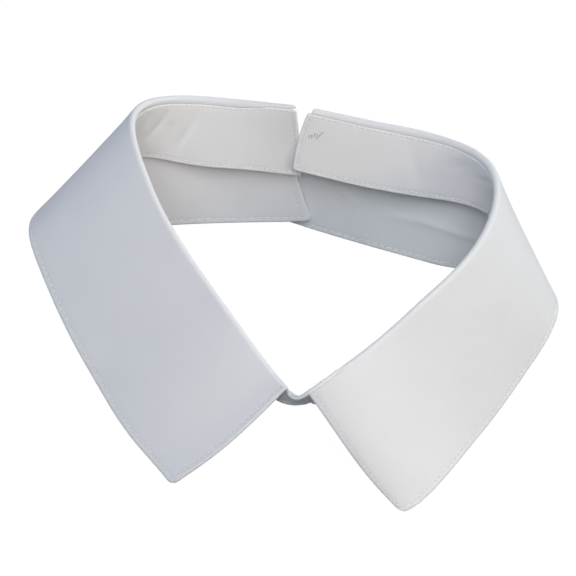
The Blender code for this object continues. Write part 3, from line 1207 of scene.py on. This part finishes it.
@dataclass(frozen=True)
class Cotton:
    """White cotton cloth in a plain weave, with painted shade in its needle holes."""

    name: str
    shade: tuple[float, float, float]
    shadow_tint: tuple[float, float, float]
    pitch: float = 0.036
    roughness: float = 0.86
    weave: float = 0.05
    creases: float = 0.12
    # The colour painted into the needle holes: painted shade, where shadow falls in them.
    hole: tuple[float, float, float] = (0.66, 0.66, 0.67)

    def material(self, weave: bpy.types.NodeTree, needle: bpy.types.NodeTree) -> bpy.types.Material:
        """Makes the cloth's material.

        Args:
            weave: The plain weave group.
            needle: The needle hole group.

        Returns:
            The material.
        """
        made = bpy.data.materials.new(self.name)
        made.use_nodes = True
        layer = NodeLayer(made.node_tree)
        shader = made.node_tree.nodes["Principled BSDF"]
        cut = layer.add("ShaderNodeUVMap", uv_map="cut").outputs[0]
        cloth = layer.add("ShaderNodeGroup", {}, node_tree=weave)
        layer.tree.links.new(cut, cloth.inputs["Vector"])
        cloth.inputs["Pitch"].default_value = self.pitch
        soft = layer.add(
            "ShaderNodeTexNoise", {"Vector": cut, "Scale": 0.55, "Detail": 3.0, "Roughness": 0.6}
        ).outputs[0]
        tone = layer.math("MULTIPLY_ADD", cloth.outputs["Slub"], 0.35, soft)
        ramp = layer.add("ShaderNodeMapRange", {0: tone, 1: 0.45, 2: 0.9}, clamp=True)
        colour = layer.add(
            "ShaderNodeMix",
            {0: ramp.outputs[0], 6: (*self.shadow_tint, 1.0), 7: (*self.shade, 1.0)},
            data_type="RGBA",
        )
        row = layer.add("ShaderNodeUVMap", uv_map="row").outputs[0]
        holes = layer.add("ShaderNodeGroup", node_tree=needle)
        layer.tree.links.new(row, holes.inputs["Row"])
        for name, value in (("Pitch", 1.9), ("Length", 0.38), ("Width", 0.26)):
            holes.inputs[name].default_value = value
        # Painted shade: the cloth goes to the hole colour in each needle hole.
        hole_shaded = layer.add(
            "ShaderNodeMix",
            {0: holes.outputs["Hole"], 6: colour.outputs[2], 7: (*self.hole, 1.0)},
            data_type="RGBA",
        )
        layer.tree.links.new(hole_shaded.outputs[2], shader.inputs["Base Color"])
        crush = layer.add(
            "ShaderNodeTexNoise", {"Vector": cut, "Scale": 2.2, "Detail": 4.0, "Roughness": 0.55}
        ).outputs[0]
        broad = layer.add(
            "ShaderNodeBump", {"Strength": self.creases, "Distance": 0.0006, "Height": crush}
        )
        fine_height = layer.math(
            "MULTIPLY_ADD", cloth.outputs["Slub"], 0.6, cloth.outputs["Height"]
        )
        fine_height = layer.math("MULTIPLY_ADD", holes.outputs["Hole"], -1.2, fine_height)
        fine = layer.add(
            "ShaderNodeBump",
            {
                "Strength": 1.0,
                "Distance": self.weave * MM,
                "Height": fine_height,
                "Normal": broad.outputs[0],
            },
        )
        layer.tree.links.new(fine.outputs[0], shader.inputs["Normal"])
        shader.inputs["Roughness"].default_value = self.roughness
        shader.inputs["Specular IOR Level"].default_value = 0.25
        shader.inputs["Sheen Weight"].default_value = 0.12
        shader.inputs["Sheen Roughness"].default_value = 0.5
        return made


@dataclass(frozen=True)
class Thread:
    """Spun sewing thread."""

    name: str
    shade: tuple[float, float, float]
    roughness: float = 0.7

    def material(self) -> bpy.types.Material:
        """Makes the thread's material.

        Returns:
            The material.
        """
        made = bpy.data.materials.new(self.name)
        made.use_nodes = True
        layer = NodeLayer(made.node_tree)
        shader = made.node_tree.nodes["Principled BSDF"]
        place_in = layer.add("ShaderNodeNewGeometry").outputs["Position"]
        fuzz = layer.add(
            "ShaderNodeTexNoise", {"Vector": place_in, "Scale": 2600.0, "Detail": 2.0}
        ).outputs[0]
        dark = tuple(0.86 * c for c in self.shade)
        colour = layer.add(
            "ShaderNodeMix",
            {0: fuzz, 6: (*dark, 1.0), 7: (*self.shade, 1.0)},
            data_type="RGBA",
        )
        layer.tree.links.new(colour.outputs[2], shader.inputs["Base Color"])
        bump = layer.add(
            "ShaderNodeBump", {"Strength": 0.5, "Distance": 0.00005, "Height": fuzz}
        )
        layer.tree.links.new(bump.outputs[0], shader.inputs["Normal"])
        shader.inputs["Roughness"].default_value = self.roughness
        return made


@dataclass(frozen=True)
class ButtonPlastic:
    """Cast button plastic, slightly pearly."""

    name: str = "button_plastic"
    shade: tuple[float, float, float] = (0.84, 0.83, 0.80)
    vein: tuple[float, float, float] = (0.74, 0.73, 0.70)

    def material(self) -> bpy.types.Material:
        """Makes the button's material.

        Returns:
            The material.
        """
        made = bpy.data.materials.new(self.name)
        made.use_nodes = True
        layer = NodeLayer(made.node_tree)
        shader = made.node_tree.nodes["Principled BSDF"]
        place_in = layer.add("ShaderNodeNewGeometry").outputs["Position"]
        swirl = layer.add(
            "ShaderNodeTexNoise",
            {"Vector": place_in, "Scale": 420.0, "Detail": 3.0, "Distortion": 1.2},
        ).outputs[0]
        colour = layer.add(
            "ShaderNodeMix",
            {0: swirl, 6: (*self.vein, 1.0), 7: (*self.shade, 1.0)},
            data_type="RGBA",
        )
        layer.tree.links.new(colour.outputs[2], shader.inputs["Base Color"])
        shine = layer.add("ShaderNodeMapRange", {0: swirl, 3: 0.2, 4: 0.32})
        layer.tree.links.new(shine.outputs[0], shader.inputs["Roughness"])
        shader.inputs["Coat Weight"].default_value = 0.3
        return made


@dataclass(frozen=True)
class Lamp:
    """A soft light: its bearing from the back, +Y, towards the right, and how high it stands."""

    name: str
    bearing: float
    height: float
    power: float
    colour: tuple[float, float, float]
    size: float = 1.0
    distance: float = 1.8


LAMPS: tuple[Lamp, ...] = (
    Lamp("front", 180, 55, 23.4, (0.90, 0.95, 1.0)),
    Lamp("back_right", 45, 25, 16.0, (0.905, 0.952, 1.0)),
    Lamp("front_right", 135, 25, 7.3, (1.0, 0.775, 0.59), size=0.5),
    Lamp("right", 90, 25, 3.4, (0.80, 0.96, 1.0), size=0.5),
    Lamp("left", 270, 25, 3.9, (0.77, 0.77, 1.0)),
    Lamp("back_left", 315, 8, 5.6, (0.71, 0.86, 1.0), size=0.5),
)


@dataclass
class Studio:
    """The pale floor, the soft lights and the camera at the photograph's angle."""

    eye: tuple[float, float, float] = (-0.00114, -0.86789, 0.75739)
    azimuth: float = -0.031
    elevation: float = 39.987
    tilt: float = 2.166
    lens: float = 218.87
    floor_size: float = 6.0

    def camera(self) -> None:
        """Sets the camera up."""
        data = bpy.data.cameras.new("camera")
        data.lens = self.lens
        data.sensor_width = 36.0
        data.clip_end = 20.0
        eye = bpy.data.objects.new("camera", data)
        bpy.context.scene.collection.objects.link(eye)
        azimuth, elevation = math.radians(self.azimuth), math.radians(self.elevation)
        look = Vector(
            (
                math.sin(azimuth) * math.cos(elevation),
                math.cos(azimuth) * math.cos(elevation),
                -math.sin(elevation),
            )
        )
        level = look.cross(Vector((0, 0, 1))).normalized()
        up = level.cross(look)
        tilt = math.radians(self.tilt)
        right = level * math.cos(tilt) + up * math.sin(tilt)
        up = right.cross(look)
        turn = Matrix((right, up, -look)).transposed().to_4x4()
        eye.matrix_world = Matrix.Translation(self.eye) @ turn
        bpy.context.scene.camera = eye

    def floor(self) -> None:
        """Lays the pale floor, which takes a soft shadow and looks white to the camera."""
        half = self.floor_size / 2
        mesh = bmesh.new()
        corners = [(-half, -half), (half, -half), (half, half), (-half, half)]
        mesh.faces.new([mesh.verts.new((x, y, 0.0)) for x, y in corners])
        made = bpy.data.meshes.new("floor")
        mesh.to_mesh(made)
        mesh.free()
        floor = bpy.data.objects.new("floor", made)
        bpy.context.scene.collection.objects.link(floor)
        paint = bpy.data.materials.new("floor_paint")
        paint.use_nodes = True
        layer = NodeLayer(paint.node_tree)
        shader = paint.node_tree.nodes["Principled BSDF"]
        shader.inputs["Base Color"].default_value = (0.30, 0.31, 0.33, 1.0)
        shader.inputs["Roughness"].default_value = 1.0
        shader.inputs["Specular IOR Level"].default_value = 0.0
        glow = layer.add("ShaderNodeEmission", {"Color": (1, 1, 1, 1), "Strength": 1.12})
        rays = layer.add("ShaderNodeLightPath")
        share = layer.math("MULTIPLY", rays.outputs["Is Camera Ray"], 0.88)
        mixed = layer.add("ShaderNodeMixShader", {0: share, 1: shader.outputs[0], 2: glow.outputs[0]})
        output = paint.node_tree.nodes["Material Output"]
        layer.tree.links.new(mixed.outputs[0], output.inputs["Surface"])
        made.materials.append(paint)

    def light(self, lamp: Lamp) -> None:
        """Hangs one soft square light that faces the collar.

        Args:
            lamp: Where it hangs, its size, power and colour.
        """
        data = bpy.data.lights.new(lamp.name, "AREA")
        data.shape = "SQUARE"
        data.size = lamp.size
        data.energy = lamp.power
        data.color = lamp.colour
        hung = bpy.data.objects.new(lamp.name, data)
        bpy.context.scene.collection.objects.link(hung)
        way = Vector((0, lamp.distance, 0))
        way.rotate(Matrix.Rotation(math.radians(lamp.height), 3, "X"))
        way.rotate(Matrix.Rotation(-math.radians(lamp.bearing), 3, "Z"))
        hung.location = way
        hung.rotation_euler = (way - Vector((0, 0, 0.03))).to_track_quat("Z", "Y").to_euler()

    def lights(self) -> None:
        """Hangs the lights and leaves the rest of the room dark."""
        for lamp in LAMPS:
            self.light(lamp)
        world = bpy.data.worlds.new("room")
        bpy.context.scene.world = world
        world.use_nodes = True
        back = world.node_tree.nodes["Background"]
        back.inputs["Color"].default_value = (0.9, 0.95, 1.0, 1.0)
        back.inputs["Strength"].default_value = 0.0
        bpy.context.scene.view_settings.view_transform = "Standard"


def main() -> None:
    """Builds and dresses the collar."""
    logging.basicConfig(level=logging.INFO, format="%(name)s: %(message)s")
    studio = Studio()
    studio.camera()
    studio.floor()
    studio.lights()

    drape = Drape()
    weave, needle = weave_group(), needle_group()
    sewing = Thread("white_thread", (0.90, 0.905, 0.915)).material()
    beige = Thread("beige_thread", (0.56, 0.51, 0.47)).material()
    # Painted light and shade: one white cotton in three shades, each set for how light falls on its
    # piece. The band's is lighter and warmer, painted light on the collar's inside. The leaves' are
    # darker, the left one darkest and bluest, painted shade.
    cloths = {
        "leaf_left": Cotton("leaf_left_cotton_painted_shade", (0.85, 0.855, 0.868), (0.83, 0.835, 0.848)),
        "leaf_right": Cotton("leaf_right_cotton_painted_shade", (0.86, 0.865, 0.872), (0.84, 0.845, 0.852)),
        "stand": Cotton("band_cotton_painted_light", (0.925, 0.92, 0.915), (0.905, 0.90, 0.895)),
    }
    panels = (
        Leaf(
            "leaf_left_cloth",
            "leaf_left",
            drape,
            curve=drape.left,
            span=drape.left_span,
            edges=(Edge(-3.0, 0.76, -0.3), Edge(1.8, 1.12)),
            corners=(Corner(True, True, 2.6), Corner(False, True, 1.8)),
            creases=LEFT_CREASES,
            rests_on=("band_cloth",),
            seed=1.3,
        ),
        Leaf(
            "leaf_right_cloth",
            "leaf_right",
            drape,
            curve=drape.right,
            span=drape.right_span,
            edges=(Edge(1.5, 1.88), Edge(1.0, 1.0, 1.0)),
            corners=(Corner(False, True, 2.6), Corner(True, True, 1.0)),
            creases=RIGHT_CREASES,
            rests_on=("band_cloth",),
            row_in=1.8,
            pucker=0.055,
            seed=2.9,
        ),
        Band(
            "band_cloth",
            "stand",
            drape,
            corners=(
                Corner(True, True, 1.3),
                Corner(True, False, 1.1),
                Corner(False, True, 0.9),
                Corner(False, False, 0.8),
            ),
            grid_size=(860, 48),
            creases=BAND_CREASES,
            rests_on=("leaf_left_cloth", "leaf_right_cloth"),
            seed=4.1,
        ),
    )
    mark = panels[-1].button_mark(beige)
    LOG.info("%s: %d faces", mark.name, len(mark.data.polygons))
    for panel in panels:
        cloth = panel.build()
        cloth.data.materials.append(cloths[panel.slot].material(weave, needle))
        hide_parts(panel.slot)
        sewn = panel.stitches(sewing)
        for piece in (cloth, sewn):
            LOG.info("%s: %d faces", piece.name, len(piece.data.polygons))

    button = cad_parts["button"]
    button.data.materials.clear()
    button.data.materials.append(ButtonPlastic().material())
    strands = button_threads(button, beige)
    LOG.info("%s: %d faces", strands.name, len(strands.data.polygons))


if __name__ == "__main__":
    main()
